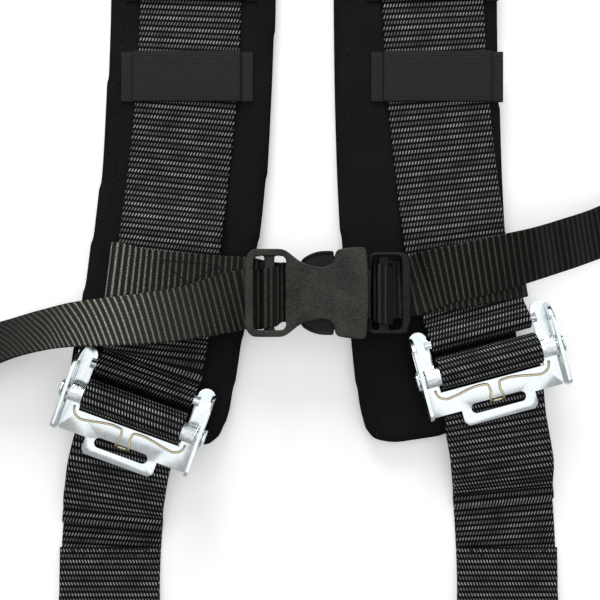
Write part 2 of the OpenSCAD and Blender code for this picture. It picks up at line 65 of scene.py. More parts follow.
floor_mesh = bpy.data.meshes.new("table")
corners = [(x * table_reach, y * table_reach, 0) for x, y in ((-1, -1), (1, -1), (1, 1), (-1, 1))]
floor_mesh.from_pydata(corners, [], [(0, 1, 2, 3)])
table = bpy.data.objects.new("table", floor_mesh)
bpy.context.collection.objects.link(table)
paper = bpy.data.materials.new("pale_table")
paper.use_nodes = True
paper_shader = paper.node_tree.nodes["Principled BSDF"]
paper_shader.inputs["Base Color"].default_value = (0.93, 0.93, 0.93, 1)
paper_shader.inputs["Roughness"].default_value = 0.9
paper_shader.inputs["Emission Color"].default_value = (1, 1, 1, 1)
paper_shader.inputs["Emission Strength"].default_value = 0.24
table.data.materials.append(paper)

world = bpy.data.worlds.new("studio")
world.use_nodes = True
sky = world.node_tree.nodes["Background"]
sky.inputs["Color"].default_value = (1, 1, 1, 1)
sky.inputs["Strength"].default_value = 0.45
bpy.context.scene.world = world


def soft_light(name, place, aim, size, power):
    """A square area light of the given size in metres at place, turned to face aim."""
    data = bpy.data.lights.new(name, "AREA")
    data.size = size
    data.energy = power
    lamp = bpy.data.objects.new(name, data)
    lamp.location = place
    lamp.rotation_euler = (Vector(aim) - Vector(place)).to_track_quat("-Z", "Y").to_euler()
    bpy.context.collection.objects.link(lamp)


soft_light("low_key_light", (-0.15, 0.95, 0.5), (0, -0.05, 0), 0.45, 8)
soft_light("overhead_light", (0.1, 0.1, 1.3), (0, 0, 0), 1.6, 6.5)

camera_data = bpy.data.cameras.new("camera")
camera_data.sensor_width = sensor_width
camera_data.lens = sensor_width * (view_height - view_level) / view_width
camera = bpy.data.objects.new("camera", camera_data)
camera.location = (view_x, view_y, view_height)
bpy.context.collection.objects.link(camera)
bpy.context.scene.camera = camera
bpy.context.scene.view_settings.view_transform = "Standard"

# ---------------------------------------------------------------------------
# Shoulder straps: two-inch polyester webbing with a light fleck. The lower end
# is sewn round the adjuster's crossbar; the upper end goes through a slide,
# round the anchor plate and back down.
# ---------------------------------------------------------------------------
SIDES = ("left", "right")
mounts = {m["name"]: m["pos_m"] for m in frame["record"]["mounts"]}
joints = {j["name"]: j for j in frame["joints"]}
strap_w, strap_t = 50.0, 1.7
strap_relief, strap_hem, strap_sides = 0.2, 22, 14
chest_w, chest_t = 29.0, 1.3
gap = 0.3
pad_top_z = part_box("pad_cover_left")[1].z / MM
chest_back_z = pad_top_z + gap + chest_t / 2
sewn_z = pad_top_z + 2 * gap + chest_t + strap_t / 2
front_z = sewn_z + strap_t + 0.15
chest_front_z = front_z + strap_t / 2 + gap + chest_t / 2
chest_tail_z = chest_front_z + chest_t + gap
on_pad_z = pad_top_z + gap + strap_t / 2
eye_wrap = 3.35
cross_wrap = 3.75
bolt_reach = 36.0
anchor_y, slide_y, link_y = 268.0, 244.0, -158.0
shoulder_lines = (
    [(-71.8, -28), (-69.4, -14), (-66.9, 2), (-65.1, 14), (-63.2, 32), (-60.4, 57),
     (-56.5, 95), (-54, 140), (-53, 190), (-53, 209)],
    [(84.4, -3.5), (81.7, 5), (78.8, 15), (77, 22), (75.2, 34), (72.6, 57),
     (68.5, 95), (65.8, 140), (64.5, 190), (64.5, 209)],
)
# The layout's zero is the middle of the view; the frame's origin is the middle of the outline
shift = np.array(mounts["anchor_bolt_left"][:2]) / MM - np.array([-53.0, anchor_y + bolt_reach])


def facing(h):
    """Unit vector in plan at angle h in degrees."""
    return np.array([np.cos(np.radians(h)), np.sin(np.radians(h))])


def heading(line, i):
    """Angle of a plan line at point i, in degrees, from the points before and after it."""
    a, b = line[max(i - 1, 0)], line[min(i + 1, len(line) - 1)]
    return np.degrees(np.arctan2(b[1] - a[1], b[0] - a[0]))


def bend(centre, h, r, start, end, steps):
    """Rows of an arc in the upright plane of heading h: r*sin(a) forwards, -r*cos(a) up from the centre."""
    a = np.linspace(start, end, steps + 1)
    plan = np.array(centre[:2]) + (r * np.sin(np.radians(a)))[:, None] * facing(h)
    return [(*p, centre[2] - r * np.cos(np.radians(turn)), h, turn, 0) for p, turn in zip(plan, a)]


def run_through(knots, values, slopes, at):
    """Values carried along cubic Hermite pieces that pass through the knots with the given slopes."""
    i = np.clip(np.searchsorted(knots, at) - 1, 0, len(knots) - 2)
    h = (knots[i + 1] - knots[i])[:, None]
    t = (at - knots[i])[:, None] / h
    return (
        (2 * t**3 - 3 * t**2 + 1) * values[i]
        + (t**3 - 2 * t**2 + t) * h * slopes[i]
        + (3 * t**2 - 2 * t**3) * values[i + 1]
        + (t**3 - t**2) * h * slopes[i + 1]
    )


def through_points(points, at_share):
    """A smooth curve through points at the given shares of its length, and its direction there."""
    points = np.array(points, float)
    knots = np.r_[0, np.cumsum(np.linalg.norm(np.diff(points, axis=0), axis=1))]
    path = run_through(knots, points, np.gradient(points, knots, axis=0), at_share * knots[-1])
    along = np.gradient(path, axis=0)
    return path, along / np.linalg.norm(along, axis=1)[:, None], knots[-1]


def sweep_frames(rows, step):
    """Centre, side and normal along a run of rows [x, y, z, heading, pitch, roll], every step mm, and the
    distance. The centre leaves each row along its heading and pitch; side and normal turn evenly between."""
    rows = np.array(rows, float)
    apart = np.linalg.norm(np.diff(rows[:, :3], axis=0), axis=1) > 0.05
    rows = rows[np.r_[True, apart]]
    h, p, r = np.radians(rows[:, 3:6]).T
    cos_r, sin_r = np.cos(r)[:, None], np.sin(r)[:, None]
    up = np.stack([-np.cos(h) * np.sin(p), -np.sin(h) * np.sin(p), np.cos(p)], 1)
    level = np.stack([-np.sin(h), np.cos(h), 0 * h], 1)
    along = np.stack([np.cos(h) * np.cos(p), np.sin(h) * np.cos(p), np.sin(p)], 1)
    knots = np.r_[0, np.cumsum(np.linalg.norm(np.diff(rows[:, :3], axis=0), axis=1))]
    at = np.linspace(0, knots[-1], int(knots[-1] / step) + 2)
    centre = run_through(knots, rows[:, :3], along, at)
    out = [centre]
    for v in (level * cos_r + up * sin_r, up * cos_r - level * sin_r):
        v = run_through(knots, v, np.gradient(v, knots, axis=0), at)
        out.append(v / np.linalg.norm(v, axis=1)[:, None])
    return *out, at


def place(name, verts_mm, faces, uv=None, smooth=True):
    """A mesh object at the world's origin, from vertices in layout millimetres and a UV for each, if any."""
    mesh = bpy.data.meshes.new(name)
    verts = np.array(verts_mm, float)
    verts[:, :2] += shift
    mesh.from_pydata((verts * MM).tolist(), [], [tuple(f) for f in faces])
    if uv is not None:
        layer = mesh.uv_layers.new(name="cloth")
        index = np.zeros(len(mesh.loops), np.int32)
        mesh.loops.foreach_get("vertex_index", index)
        layer.data.foreach_set("uv", np.asarray(uv, float)[index].ravel())
    mesh.polygons.foreach_set("use_smooth", [smooth] * len(mesh.polygons))
    obj = bpy.data.objects.new(name, mesh)
    bpy.context.collection.objects.link(obj)
    return obj


def tube_faces(rings, sides):
    """Quads that join each ring of a swept section to the next, and one flat face over each end."""
    i, j = np.meshgrid(np.arange(rings - 1), np.arange(sides), indexing="ij")
    a = (sides * i + j).ravel()
    d = (sides * i + (j + 1) % sides).ravel()
    quads = np.stack([a, d, d + sides, a + sides], 1).tolist()
    return [list(range(sides - 1, -1, -1))] + quads + [[sides * (rings - 1) + k for k in range(sides)]]


def band(name, rows, w, t, pitch, relief, across, step, skew=None):
    """Webbing swept along the rows: a flat section with rounded selvedges, whose two faces swell by relief in
    a rib every pitch mm along the length. UV is the place across and along, in mm. skew(points) says how far
    the weft leans, as distance along over distance across."""
    centre, side, normal, at = sweep_frames(rows, step)
    edge = 0.5 * t
    top = np.stack([np.linspace(w / 2 - edge, edge - w / 2, across), np.full(across, t / 2)], 1)
    turn = np.radians([60, 0, -60])
    right = np.stack([edge - w / 2 - edge * np.cos(turn), edge * np.sin(turn)], 1)
    section = np.vstack([top, right, top[::-1] * [1, -1], right[::-1] * [-1, 1]])
    lean = skew(centre)[:, None] if skew else 0
    woven = at[:, None] + lean * section[:, 0][None, :]
    rib = relief * (np.abs(np.sin(np.pi * woven / pitch)) ** 0.7 - 1)
    flat = np.abs(section[:, 1]) > 0.49 * t
    b = section[:, 1][None, :] + np.where(flat, np.sign(section[:, 1]), 0)[None, :] * rib
    verts = centre[:, None] + side[:, None] * section[:, 0][None, :, None] + normal[:, None] * b[:, :, None]
    uv = np.stack([np.broadcast_to(section[:, 0], b.shape), np.broadcast_to(woven, b.shape)], 2)
    n = len(section)
    # The section runs clockwise seen along the run, so its rings are joined the other way round
    faces = [f[::-1] for f in tube_faces(len(at), n)]
    return place(name, verts.reshape(-1, 3), faces, uv.reshape(-1, 2))


def hem(row, length, thick):
    """Rows that fold the end of a strap over onto itself, from its last row back by length."""
    x, y, z, h = row[:4]
    r = thick / 2 + 0.15
    ahead = facing(h)
    back = np.array([x, y]) - length * ahead
    return bend((x, y, z + r), h, r, 0, 180, 6)[1:] + [(*back, z + 2 * r, h, 180, 0)]


def finish_of(name, colour, roughness, metallic=0.0, level=0.5):
    """A new node material with its even values set on the shader, then its node tree and the shader."""
    m = bpy.data.materials.new(name)
    m.use_nodes = True
    tree = m.node_tree
    shader = tree.nodes["Principled BSDF"]
    shader.inputs["Base Color"].default_value = (*colour, 1)
    shader.inputs["Roughness"].default_value = roughness
    shader.inputs["Metallic"].default_value = metallic
    shader.inputs["Specular IOR Level"].default_value = level
    return m, tree, shader


def woven_uv(tree):
    """The webbing's own UV in mm, then its place across and its place along."""
    uv = tree.nodes.new("ShaderNodeUVMap")
    uv.uv_map = "cloth"
    xy = tree.nodes.new("ShaderNodeSeparateXYZ")
    tree.links.new(uv.outputs["UV"], xy.inputs[0])
    return uv.outputs["UV"], xy.outputs["X"], xy.outputs["Y"]


def own_place(tree):
    """The place on the object in its own coordinates, in metres."""
    return tree.nodes.new("ShaderNodeTexCoord").outputs["Object"]


def noise(tree, where, scale, detail=2):
    """Cloudy noise from 0 to 1 over those coordinates."""
    n = tree.nodes.new("ShaderNodeTexNoise")
    n.inputs["Scale"].default_value = scale
    n.inputs["Detail"].default_value = detail
    tree.links.new(where, n.inputs["Vector"])
    return n.outputs["Fac"]


def map_range(tree, value, low, high, to_low=0, to_high=1):
    """The value carried from the range low to high over to the range to_low to to_high, held within it."""
    ramp = tree.nodes.new("ShaderNodeMapRange")
    for socket_name, v in (("From Min", low), ("From Max", high), ("To Min", to_low), ("To Max", to_high)):
        ramp.inputs[socket_name].default_value = v
    tree.links.new(value, ramp.inputs["Value"])
    return ramp.outputs["Result"]


def calc(tree, kind, *values):
    """A Math node of that kind on up to three inputs, each a number or another node's output."""
    n = tree.nodes.new("ShaderNodeMath")
    n.operation = kind
    for k, v in enumerate(values):
        if isinstance(v, (int, float)):
            n.inputs[k].default_value = v
        else:
            tree.links.new(v, n.inputs[k])
    return n.outputs[0]


def band_mask(tree, value, half, soft):
    """1 where value's fraction lies within half of 0.5, falling to 0 over soft beyond it."""
    away = calc(tree, "ABSOLUTE", calc(tree, "SUBTRACT", calc(tree, "FRACT", value), 0.5))
    return map_range(tree, away, half + soft, half)


def add_bump(tree, shader, height, strength, distance):
    """A Bump node from that height on the shader's normal."""
    bump = tree.nodes.new("ShaderNodeBump")
    bump.inputs["Strength"].default_value = strength
    bump.inputs["Distance"].default_value = distance
    tree.links.new(height, bump.inputs["Height"])
    tree.links.new(bump.outputs["Normal"], shader.inputs["Normal"])


def paint(tree, shader, factor, low, high):
    """The shader's colour goes from low to high with the factor."""
    mix = tree.nodes.new("ShaderNodeMix")
    mix.data_type = "RGBA"
    mix.inputs["A"].default_value = (*low, 1)
    mix.inputs["B"].default_value = (*high, 1)
    tree.links.new(factor, mix.inputs["Factor"])
    tree.links.new(mix.outputs["Result"], shader.inputs["Base Color"])


row_pitch, dash_pitch = 2.75, 1.5


def fleck_webbing():
    """Black webbing with short light dashes in every other row across it: the dashes lean over."""
    m, tree, shader = finish_of("flecked_webbing", (0.012, 0.012, 0.013), 0.6, level=0.06)
    uv, across, along = woven_uv(tree)
    row = calc(tree, "DIVIDE", along, row_pitch)
    number = calc(tree, "FLOOR", row)
    every_other = calc(tree, "FRACT", calc(tree, "MULTIPLY", number, 0.5))
    lean = calc(tree, "MULTIPLY_ADD", calc(tree, "FRACT", row), -0.8, calc(tree, "MULTIPLY", number, 0.37))
    dash = calc(tree, "ADD", calc(tree, "DIVIDE", across, dash_pitch), lean)
    mask = calc(tree, "MULTIPLY", band_mask(tree, row, 0.20, 0.12), band_mask(tree, dash, 0.10, 0.13))
    mask = calc(tree, "MULTIPLY", mask, calc(tree, "MULTIPLY_ADD", every_other, -1.0, 1.0))
    wear_and_sheen = calc(tree, "MULTIPLY_ADD", noise(tree, uv, 0.09, 3), 1.6, -0.15)
    paint(tree, shader, calc(tree, "MULTIPLY", mask, wear_and_sheen), (0.004, 0.004, 0.0045), (0.50, 0.50, 0.52))
    yarn = band_mask(tree, dash, 0.2, 0.3)
    height = calc(tree, "MULTIPLY_ADD", yarn, 0.6, calc(tree, "MULTIPLY", mask, 0.5))
    add_bump(tree, shader, height, 0.6, 0.00018)
    return m


flecked = fleck_webbing()


def finish_piece(piece, body, slot, material, *replaced):
    """Puts the material on a piece, hides the CAD nodes it stands for and lets it ride on its body."""
    piece.data.materials.clear()
    piece.data.materials.append(material)
    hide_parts(*replaced)
    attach(piece, body)
    return piece


def layout(joint):
    """A joint's point in layout millimetres, and the angle of its axis in plan in degrees."""
    j = joints[joint]
    p = np.array(j["pos_m"]) / MM
    return np.r_[p[:2] - shift, p[2]], np.degrees(np.arctan2(-j["axis"][1], -j["axis"][0]))


for s, side in enumerate(SIDES):
    line = shoulder_lines[s]
    top_x = line[-1][0]
    cross, tilt = layout("adjuster_lift_" + side)
    h = tilt - 90
    ahead = facing(h)
    cross_top = cross[2] + cross_wrap
    eye_z = layout("anchor_swing_" + side)[0][2]
    rows = [(*line[i], sewn_z, heading(line, i) - 180, 0, 0) for i in (3, 1, 0)]
    rows += [(*(cross[:2] - 6 * ahead), sewn_z, h, 0, 0)]
    rows += bend(cross, h, cross_wrap, 0, 180, 10)
    for back, z in ((2.5, cross_top - 0.2), (5.5, (cross_top + front_z) / 2 + 0.2), (8.5, front_z + 0.05)):
        rows += [(*(cross[:2] - back * ahead), z, h, 180, 0)]
    for i in range(len(line)):
        rows += [(*line[i], front_z if i < 5 else on_pad_z, heading(line, i) - 180, 180, 0)]
    for y, z in ((slide_y - 22, 7.5), (slide_y - 10, 4.4), (slide_y, 8), (slide_y + 10, 2.4)):
        rows += [(top_x, y, z, -90, 180, 0)]
    rows += bend((top_x, anchor_y, eye_z), -90, -eye_wrap, 180, 0, 10)
    for y, z in ((slide_y + 10, 5), (slide_y, 10.4), (slide_y - 10, 6.8), (slide_y - 22, 10.4),
                 (slide_y - 34, 14.2), (slide_y - 62, on_pad_z + strap_t + gap)):
        rows += [(top_x, y, z, -90, 0, 0)]
    strap = band("shoulder_webbing_" + side, rows, strap_w, strap_t, row_pitch, strap_relief, strap_sides,
                 row_pitch / 6)
    finish_piece(strap, side + "_half", "shoulder_webbing", flecked, "shoulder_strap_" + side)

# ---------------------------------------------------------------------------
# Adjusting straps: the same webbing, sewn round the link plate, up behind the
# adjuster, over its knurled bar and back down behind the plate as a pull tail.
# ---------------------------------------------------------------------------
drop_lines = (
    [(-89.5, -84), (-92.3, -98), (-94, -112), (-95, -126), (-95.5, -140), (-95.5, -152)],
    [(96.5, -62), (99.6, -80), (102, -100), (103.3, -120), (104, -140), (104, -152)],
)
grip_at = ((-80.6, -54.7), (91.8, -30.4))
grip_wrap = 5.75
tail_z = on_pad_z + strap_t + gap
floor_z = 0.35 + strap_t / 2


def fall(y, high):
    """Height of a layer as it steps down from the pad's end to the table."""
    for edge, drop in ((-85, 0), (-92, 1.6), (-99, 5)):
        if y > edge:
            return high - drop
    return high - on_pad_z + floor_z


for s, side in enumerate(SIDES):
    line = drop_lines[s]
    cross, tilt = layout("adjuster_lift_" + side)
    eye = layout("link_swing_" + side)[0]
    bar_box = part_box("adjuster_bar_" + side)
    grip_z = (bar_box[0].z + bar_box[1].z) / 2 / MM
    up = facing(tilt + 90)
    bar = np.array(grip_at[s])
    h = tilt - 90
    out_r = 1.6
    rows = [(eye[0], link_y + 34, floor_z + strap_t + gap, -90, 0, 0),
            (eye[0], link_y + 14, floor_z + strap_t + gap + 1, -90, 0, 0)]
    rows += bend(eye, -90, -eye_wrap, 0, -180, 10)
    for i in reversed(range(len(line))):
        rows += [(*line[i], fall(line[i][1], on_pad_z), heading(line, i), 180, 0)]
    rows += [(*(bar - v * up), on_pad_z, h, 180, 0) for v in (12, 4)]
    roll_r = (grip_z + grip_wrap - on_pad_z) / 2
    rows += bend((*bar, on_pad_z + roll_r), h, -roll_r, 180, 0, 12)
    rows += bend((*bar, grip_z), h, -grip_wrap, -15, -90, 5)
    rows += bend((*(bar - (grip_wrap + out_r) * up), tail_z + out_r), h, out_r, -90, 0, 4)
    rows += [(*line[i], fall(line[i][1], tail_z), heading(line, i), 0, 0) for i in range(3)]
    rows += hem(rows[-1], strap_hem, strap_t)
    strap = band("adjusting_webbing_" + side, rows, strap_w, strap_t, row_pitch, strap_relief, strap_sides,
                 row_pitch / 6)
    finish_piece(strap, "grip_" + side, "shoulder_webbing", flecked, "adjusting_strap_" + side)

# ---------------------------------------------------------------------------
# Chest straps: ribbed 30 mm webbing. Each is sewn in a loop round a shoulder
# strap, goes over the middle bar of its half of the buckle and out as a tail.
# ---------------------------------------------------------------------------
chest_fold = ((90.9, 13.7, 7), (106.1, 15.4, 9.8))
chest_back = ([(36, 5), (60, 8.5), (76, 11)], [(56, 7), (78, 10.4), (92, 12.9)])
chest_front = ([(73, 10), (48, 7.8), (28, 6.6)], [(92, 12.9), (75, 9.9), (57, 6.9)])
chest_tail = (
    [(31, -0.4, 0, 0), (38, -2, 2.4, -12), (50, -5, 6.2, -24), (68, -8, 8.4, -31),
     (90, -10, 9.6, -38), (109, -11.5, 6.5, -43), (126, -14.6, 0, -47), (147, -20.5, -6.6, -46),
     (166, -28, -9.9, -32), (182, -36, -14.4, -12), (195, -43.5, -17.95, 0)],
    [(59, 8.4, 0, 0), (65, 10.3, 3, 12), (75, 12.8, 4.9, 19), (88, 15.8, 6.6, 22),
     (100, 18.6, 7.7, 25), (112, 21.8, 8.3, 30), (127, 26.3, 3, 31), (147, 33, -3.9, 31),
     (166, 41.4, -9.2, 23), (182, 49.6, -14.7, 10), (195, 56.5, -17.95, 0)],
)
chest_spread = ((3.8, 0.6, 0.2), (4, 2.2, 5))
# Inner wall of each half's slot, and the space between it and the strap's upward turn
slot_wall, turn_clear = (6.6, 34.2), (0.1, 0.7)
wide_turn, slope = 2.2, 27
middle_bar = (14.9, 40.6)
middle_bar_half, middle_bar_t, bar_lift = 2.5, 3, 0.5
bar_low_z = chest_front_z + chest_t / 2 + bar_lift
over_z = bar_low_z + middle_bar_t + gap + chest_t / 2
rib_pitch, rib_relief, chest_hem = 3.0, 0.34, 16


def ribbed_webbing():
    """Olive-black webbing: the ribs' crowns are broken into light specks, and a painted sheen lights them up in
    places along the chest, most on the left tail.
    """
    m, tree, shader = finish_of("ribbed_webbing", (0.03, 0.03, 0.027), 0.55, level=0.08)
    uv, _, along = woven_uv(tree)
    crown = band_mask(tree, calc(tree, "DIVIDE", along, rib_pitch), 0.03, 0.20)
    grain = noise(tree, uv, 1.7, 3)
    specks = map_range(tree, grain, 0.40, 0.66)
    chest_x = tree.nodes.new("ShaderNodeSeparateXYZ")
    tree.links.new(own_place(tree), chest_x.inputs[0])

    def painted_sheen_near(x, half):
        """1 at x metres along the chest, falling as a bell curve of that half width."""
        away = calc(tree, "DIVIDE", calc(tree, "SUBTRACT", chest_x.outputs["X"], x), half)
        return calc(tree, "EXPONENT", calc(tree, "MULTIPLY", calc(tree, "MULTIPLY", away, away), -1.0))

    # Painted sheen: the colour is lightened in bell curves along the chest, most on the left tail where it turns
    # towards the low key light, and held dark elsewhere
    wear_and_sheen = calc(tree, "MULTIPLY_ADD", painted_sheen_near(-0.094, 0.025), 0.8, 0.10)
    wear_and_sheen = calc(tree, "MULTIPLY_ADD", painted_sheen_near(-0.045, 0.035), 0.08, wear_and_sheen)
    wear_and_sheen = calc(tree, "MULTIPLY_ADD", painted_sheen_near(0.078, 0.02), 0.16, wear_and_sheen)
    light = calc(tree, "MULTIPLY", calc(tree, "MULTIPLY_ADD", crown, 0.95, 0.03),
                 calc(tree, "MULTIPLY_ADD", specks, 1.1, 0.22))
    paint(tree, shader, calc(tree, "MULTIPLY", light, wear_and_sheen), (0.0055, 0.0057, 0.0052), (0.42, 0.42, 0.35))
    add_bump(tree, shader, calc(tree, "MULTIPLY_ADD", crown, 0.6, grain), 0.6, 0.0002)
    return m


def weft_lean(points):
    """The left tail is pulled on the bias: its ribs lean more the further out they are."""
    out = np.clip((-points[:, 0] - 20) / 150, 0, 1)
    on_tail = np.clip((4 - points[:, 1]) / 3, 0, 1)
    return 0.8 * out * out * (3 - 2 * out) * on_tail


ribbed = ribbed_webbing()
for s, side in enumerate(SIDES):
    fold_x, fold_y, fold_turn = chest_fold[s]
    back, front, tail = chest_back[s], chest_front[s], chest_tail[s]
    mid, turn_r = middle_bar[s], 1.5
    off = middle_bar_half + gap + chest_t / 2 + 0.2
    spread = chest_spread[s]
    rows = [(*back[i], chest_back_z, heading(back, i), 0, 0) for i in range(3)]
    fold_z = (chest_back_z + chest_front_z) / 2
    rows += bend((fold_x, fold_y, fold_z), fold_turn, (chest_front_z - chest_back_z) / 2, 0, 180, 8)
    rows += [(*front[i], chest_front_z, heading(front, i) - 180, 180, 0) for i in range(3)]
    low_x, top_x = slot_wall[s] + turn_clear[s] + chest_t / 2 + turn_r, mid - off + wide_turn - 0.4
    rows += bend((low_x, spread[0], chest_front_z + turn_r), 0, -turn_r, 180, slope, 5)
    rows += bend((top_x, spread[1] + 1, over_z - wide_turn), 0, -wide_turn, slope, 0, 2)
    rows += bend((mid + off - turn_r, spread[1], over_z - turn_r), 0, -turn_r, 0, -90, 3)
    rows += bend((mid + off + turn_r, spread[2], chest_tail_z + turn_r), 0, turn_r, -90, 0, 3)
    rows += [(p[0], p[1], chest_tail_z + p[2], heading(tail, i), 0, p[3]) for i, p in enumerate(tail)]
    rows += hem(rows[-1], chest_hem, chest_t)
    if side == "left":
        rows = [(-r[0], r[1], r[2], 180 - r[3], r[4], -r[5]) for r in rows]
    strap = band("chest_webbing_" + side, rows, chest_w, chest_t, rib_pitch, rib_relief, 16, rib_pitch / 8,
                 weft_lean if side == "left" else None)
    finish_piece(strap, side + "_half", "chest_webbing", ribbed, "chest_strap_" + side)

# ---------------------------------------------------------------------------
# Box stitching: bonded black thread, a box with a cross in it, through both
# layers where each loop is sewn.
# ---------------------------------------------------------------------------
thread, tree, shader = finish_of("bonded_thread", (0.006, 0.006, 0.006), 0.5, level=0.2)
twist = tree.nodes.new("ShaderNodeTexWave")
twist.inputs["Scale"].default_value = 900
tree.links.new(own_place(tree), twist.inputs["Vector"])
paint(tree, shader, twist.outputs["Fac"], (0.002, 0.002, 0.002), (0.012, 0.012, 0.012))
add_bump(tree, shader, twist.outputs["Fac"], 0.4, 0.0001)
thread_lift = 0.06


def stitches(name, runs, pitch=2.9, length=2.3, r=0.33):
    """Stitches along straight runs [from, to] in space, one every pitch: each a short spindle of six sides,
    its radius r*sqrt(1 - (0.92*q)^2) for q from -1 to 1 along it."""
    verts, faces = [], []
    q = np.array([-1, -0.6, 0, 0.6, 1.0])
    wide = r * np.sqrt(1 - (0.92 * q) ** 2)
    ring = np.linspace(0, 2 * np.pi, 6, endpoint=False)
    one = tube_faces(len(q), len(ring))
    for start, end in runs:
        start, end = np.array(start, float), np.array(end, float)
        run = np.linalg.norm(end - start)
        d = (end - start) / run
        side = np.cross((0, 0, 1.0), d)
        side /= np.linalg.norm(side)
        up = np.cross(d, side)
        count = max(int(run / pitch), 1)
        middles = start + d * (run * (np.arange(count) + 0.5) / count)[:, None]
        spindle = (d * (q * length / 2)[:, None])[:, None] + wide[:, None, None] * (
            side * np.cos(ring)[:, None] + up * np.sin(ring)[:, None])
        for m in middles:
            faces += [[len(verts) * len(q) * len(ring) + k for k in f] for f in one]
            verts.append((m + spindle).reshape(-1, 3))
    return place(name, np.concatenate(verts), faces)


def box_and_cross(middle, along, half_l, half_w, z):
    """The runs of a box with a cross in it round a middle point in plan, its length along that angle."""
    c, sn = facing(along)
    corner = [(middle[0] + c * a * half_l - sn * b * half_w, middle[1] + sn * a * half_l + c * b * half_w, z)
              for a, b in ((-1, -1), (1, -1), (1, 1), (-1, 1))]
    return [(corner[i], corner[j]) for i, j in ((0, 1), (1, 2), (2, 3), (3, 0), (0, 2), (1, 3))]


sewn_top = chest_front_z + chest_t / 2 + thread_lift
link_top = floor_z + strap_t + gap + strap_t / 2 + thread_lift
for s, side in enumerate(SIDES):
    middle, along = (((-54.5, 8.4), -4.5), ((75, 9.9), 10))[s]
    piece = stitches("chest_stitching_" + side, box_and_cross(middle, along, 14.5, 10, sewn_top))
    finish_piece(piece, side + "_half", "chest_webbing", thread)
    link_x = drop_lines[s][-1][0]
    piece = stitches("link_stitching_" + side, box_and_cross((link_x, link_y + 25), 90, 8, 20, link_top))
    finish_piece(piece, "grip_" + side, "shoulder_webbing", thread)

# ---------------------------------------------------------------------------
# Shoulder pads: closed-cell foam in a matte brushed cloth cover with a bound
# edge. The foam fills the cover, so one piece stands for both.
# ---------------------------------------------------------------------------
pad_lines = (
    [(-79.8, -68), (-75, -45), (-69.5, -15), (-64.5, 15), (-58.3, 57), (-55.5, 95), (-53.5, 140), (-53, 205)],
    [(73.6, -68), (71.7, -57), (66.3, -18), (62, 25), (59.8, 57), (58.3, 95), (57.5, 140), (57.3, 205)],
)
pad_w, corner_r = 82.0, 14.0
stretch_l = 7


def pad_cloth():
    """Black brushed cloth: very matte, with a fine nap that is a little uneven in patches."""
    m, tree, shader = finish_of("pad_cloth", (0.012, 0.012, 0.013), 0.95, level=0.0)
    where = own_place(tree)
    nap = noise(tree, where, 1400, 4)
    tone = calc(tree, "MULTIPLY", nap, noise(tree, where, 60))
    paint(tree, shader, tone, (0.008, 0.008, 0.0088), (0.018, 0.018, 0.019))
    add_bump(tree, shader, nap, 0.5, 0.0002)
    return m


cloth = pad_cloth()


def to_left(along):
    """Unit vectors in plan square to the given ones, on their left."""
    return np.stack([-along[:, 1], along[:, 0]], 1)


def points_of(mesh):
    """The places of a mesh's vertices, in metres."""
    co = np.zeros(len(mesh.vertices) * 3)
    mesh.vertices.foreach_get("co", co)
    return co.reshape(-1, 3)


def settle(obj):
    """Takes the object's modifiers into its mesh."""
    seen = obj.evaluated_get(bpy.context.evaluated_depsgraph_get())
    obj.data = bpy.data.meshes.new_from_object(seen)
    obj.modifiers.clear()


def trued(co, line, half_w):
    """Draws the long edges of a pad out to an even half width: beside each 7 mm stretch of the line a point's
    offset is scaled by half_w over the widest offset there, fully at the edge, not at all on the line. mm."""
    share = np.linspace(0, 1, 500)
    mid, along, length = through_points(line, share)
    nearest = np.concatenate([np.argmin(np.linalg.norm(part[:, None] - mid[None], axis=2), 1)
                              for part in np.array_split(co, 12)])
    across = to_left(along)[nearest]
    out = np.sum((co - mid[nearest]) * across, 1)
    down = share[nearest] * length
    stretch = (down / stretch_l).astype(int)
    grown = out.copy()
    for way in (-1, 1):
        widest = np.zeros(stretch.max() + 1)
        np.maximum.at(widest, stretch, way * out)
        centre = (np.arange(len(widest)) + 0.5) * stretch_l
        reach = np.interp(down, centre, widest)
        near_edge = np.clip((way * out / reach - 0.7) / 0.25, 0, 1)
        clear_of_ends = np.clip((np.minimum(down, length - down) - corner_r) / 8, 0, 1)
        grown += way * np.where(way * out > 0, (half_w - reach) * near_edge * clear_of_ends, 0)
    return co + across * (grown - out)[:, None]


def stuffed(pad, line, half_w, low, high, cap):
    """Swells a closed mesh by cloth pressure with gravity off, after a remesh to even 4 mm quads. A point
    moves at most cap, stays between the heights low and high, and the result is subdivided. Metres."""
    scene = bpy.context.scene
    remesh = pad.modifiers.new("even", "REMESH")
    remesh.mode = "VOXEL"
    remesh.voxel_size = 0.004
    settle(pad)
    before = points_of(pad.data)
    after = before.copy()
    cover = pad.modifiers.new("cover", "CLOTH")
    cover.settings.use_pressure = True
    cover.settings.uniform_pressure_force = 4
    cover.settings.effector_weights.gravity = 0
    for f in range(1, 21):
        scene.frame_set(f)
    swollen = pad.evaluated_get(bpy.context.evaluated_depsgraph_get())
    after = points_of(swollen.to_mesh())
    swollen.to_mesh_clear()
    pad.modifiers.clear()
    scene.frame_set(1)
    move = after - before
    far = np.linalg.norm(move, axis=1)
    co = before + move * np.minimum(1, cap / np.maximum(far, 1e-9))[:, None]
    co[:, 2] = np.clip(co[:, 2], low, high)
    co[:, :2] = (trued(co[:, :2] / MM - shift, line, half_w) + shift) * MM
    pad.data.vertices.foreach_set("co", co.ravel())
    finer = pad.modifiers.new("finer", "SUBSURF")
    finer.levels = finer.render_levels = 2
    settle(pad)
    pad.data.polygons.foreach_set("use_smooth", [True] * len(pad.data.polygons))


def beside_line(line, share, out):
    """Points at a distance out beside a smooth line, to its left, at the given shares of its length."""
    mid, along, _ = through_points(line, share)
    return mid + out * to_left(along)


